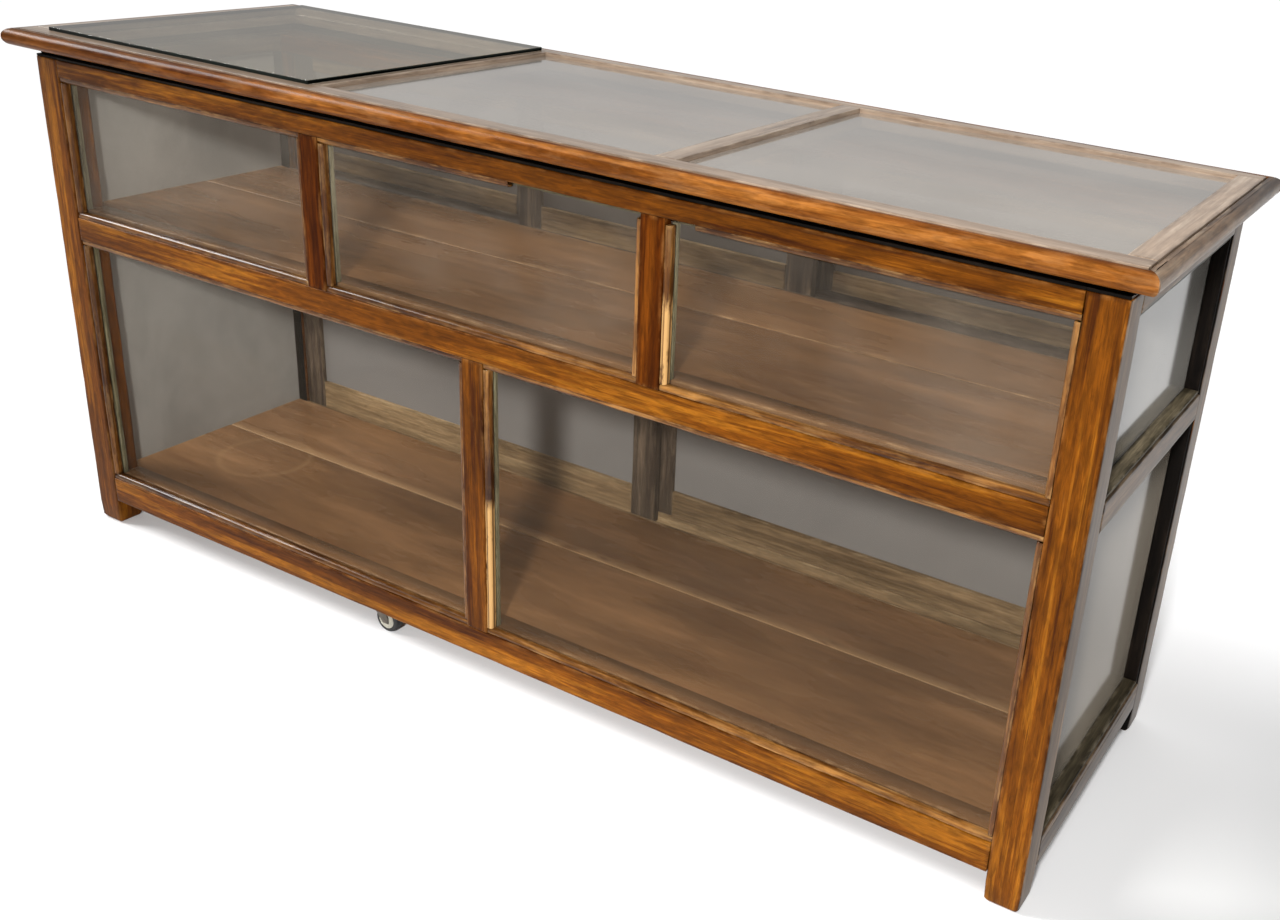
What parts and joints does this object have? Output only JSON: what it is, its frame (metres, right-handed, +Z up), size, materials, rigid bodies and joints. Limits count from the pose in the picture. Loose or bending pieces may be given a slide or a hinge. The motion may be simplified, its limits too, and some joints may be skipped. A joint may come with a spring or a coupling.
{
  "type": "glass display showcase",
  "caption": "Low timber counter case with a glazed front, ends and top, a full-depth shelf, sliding glazed rear doors and swivel casters.",
  "frame": {"origin": "on the floor, under the middle of the overall box", "axes": "+X along the length towards the right end seen from the customer side, -Y towards the customer, +Z up"},
  "size_m": [1.928, 0.612, 0.906],
  "materials": {
    "case_wood": "worn varnish",
    "board_wood": "varnished boards",
    "top_wood": "sun-bleached",
    "nosing_wood": "worn varnish",
    "bead_wood": "worn bare wood",
    "door_wood": "sun-bleached",
    "clear_glass": "clear",
    "door_glass": "dusty",
    "loose_glass": "clear, green edge",
    "caster_steel": "dull",
    "wheel_rubber": "matte"
  },
  "bodies": {
    "case": {"caster_sockets": "caster_steel", "end_bottom_rail_left": "case_wood", "end_bottom_rail_right": "case_wood", "end_glass_left": "clear_glass", "end_glass_right": "clear_glass", "end_glazing_beads": "bead_wood", "end_mid_rail_left": "case_wood", "end_mid_rail_right": "case_wood", "end_top_rail_left": "case_wood", "end_top_rail_right": "case_wood", "floor_bearers": "board_wood", "floor_boards": "board_wood", "front_bottom_rail": "case_wood", "front_glass_lower_left": "clear_glass", "front_glass_lower_right": "clear_glass", "front_glass_upper_centre": "clear_glass", "front_glass_upper_left": "clear_glass", "front_glass_upper_right": "clear_glass", "front_glazing_beads": "bead_wood", "front_mid_rail": "case_wood", "front_mullion_lower": "case_wood", "front_mullion_upper_left": "case_wood", "front_mullion_upper_right": "case_wood", "front_top_rail": "case_wood", "nosing_ends": "nosing_wood", "nosing_front": "nosing_wood", "nosing_rear": "nosing_wood", "post_front_left": "case_wood", "post_front_right": "case_wood", "post_rear_left": "case_wood", "post_rear_right": "case_wood", "rear_bottom_rail": "case_wood", "rear_mid_rail": "case_wood", "rear_top_rail": "case_wood", "shelf_bearers": "board_wood", "shelf_boards": "board_wood", "top_battens": "case_wood", "top_divider_left": "top_wood", "top_divider_right": "top_wood", "top_glass_centre": "clear_glass", "top_glass_right": "clear_glass", "top_rail_front": "top_wood", "top_rail_left": "top_wood", "top_rail_rear": "top_wood", "top_rail_right": "top_wood"},
    "door_lower_left": {"door_lower_left_frame": "door_wood", "door_lower_left_glass": "door_glass"},
    "door_lower_right": {"door_lower_right_frame": "door_wood", "door_lower_right_glass": "door_glass"},
    "door_upper_left": {"door_upper_left_frame": "door_wood", "door_upper_left_glass": "door_glass"},
    "door_upper_centre": {"door_upper_centre_frame": "door_wood", "door_upper_centre_glass": "door_glass"},
    "door_upper_right": {"door_upper_right_frame": "door_wood", "door_upper_right_glass": "door_glass"},
    "loose_top_pane": {"top_glass_left": "loose_glass"},
    "yoke_front": {"caster_yoke_front": "caster_steel"},
    "wheel_front": {"caster_wheel_front": "wheel_rubber"},
    "yoke_rear": {"caster_yoke_rear": "caster_steel"},
    "wheel_rear": {"caster_wheel_rear": "wheel_rubber"}
  },
  "joints": [
    {"name": "lower_left_door_slide", "type": "slide", "parent": "case", "child": "door_lower_left", "axis": [1, 0, 0], "range_m": [0, 0.865]},
    {"name": "lower_right_door_slide", "type": "slide", "parent": "case", "child": "door_lower_right", "axis": [1, 0, 0], "range_m": [-0.865, 0]},
    {"name": "upper_left_door_slide", "type": "slide", "parent": "case", "child": "door_upper_left", "axis": [1, 0, 0], "range_m": [0, 0.551]},
    {"name": "upper_centre_door_slide", "type": "slide", "parent": "case", "child": "door_upper_centre", "axis": [1, 0, 0], "range_m": [-0.5765, 0.5765]},
    {"name": "upper_right_door_slide", "type": "slide", "parent": "case", "child": "door_upper_right", "axis": [1, 0, 0], "range_m": [-0.551, 0]},
    {"name": "loose_top_pane_lift", "type": "slide", "parent": "case", "child": "loose_top_pane", "axis": [0, 0, 1], "range_m": [0, 0.12]},
    {"name": "front_caster_swivel", "type": "hinge", "parent": "case", "child": "yoke_front", "pos_m": [-0.234, -0.243, 0.05], "axis": [0, 0, 1], "continuous": true},
    {"name": "front_wheel_spin", "type": "hinge", "parent": "yoke_front", "child": "wheel_front", "pos_m": [-0.218, -0.243, 0.023], "axis": [0, 1, 0], "continuous": true},
    {"name": "rear_caster_swivel", "type": "hinge", "parent": "case", "child": "yoke_rear", "pos_m": [-0.234, 0.176, 0.05], "axis": [0, 0, 1], "continuous": true},
    {"name": "rear_wheel_spin", "type": "hinge", "parent": "yoke_rear", "child": "wheel_rear", "pos_m": [-0.218, 0.176, 0.023], "axis": [0, 1, 0], "continuous": true}
  ]
}
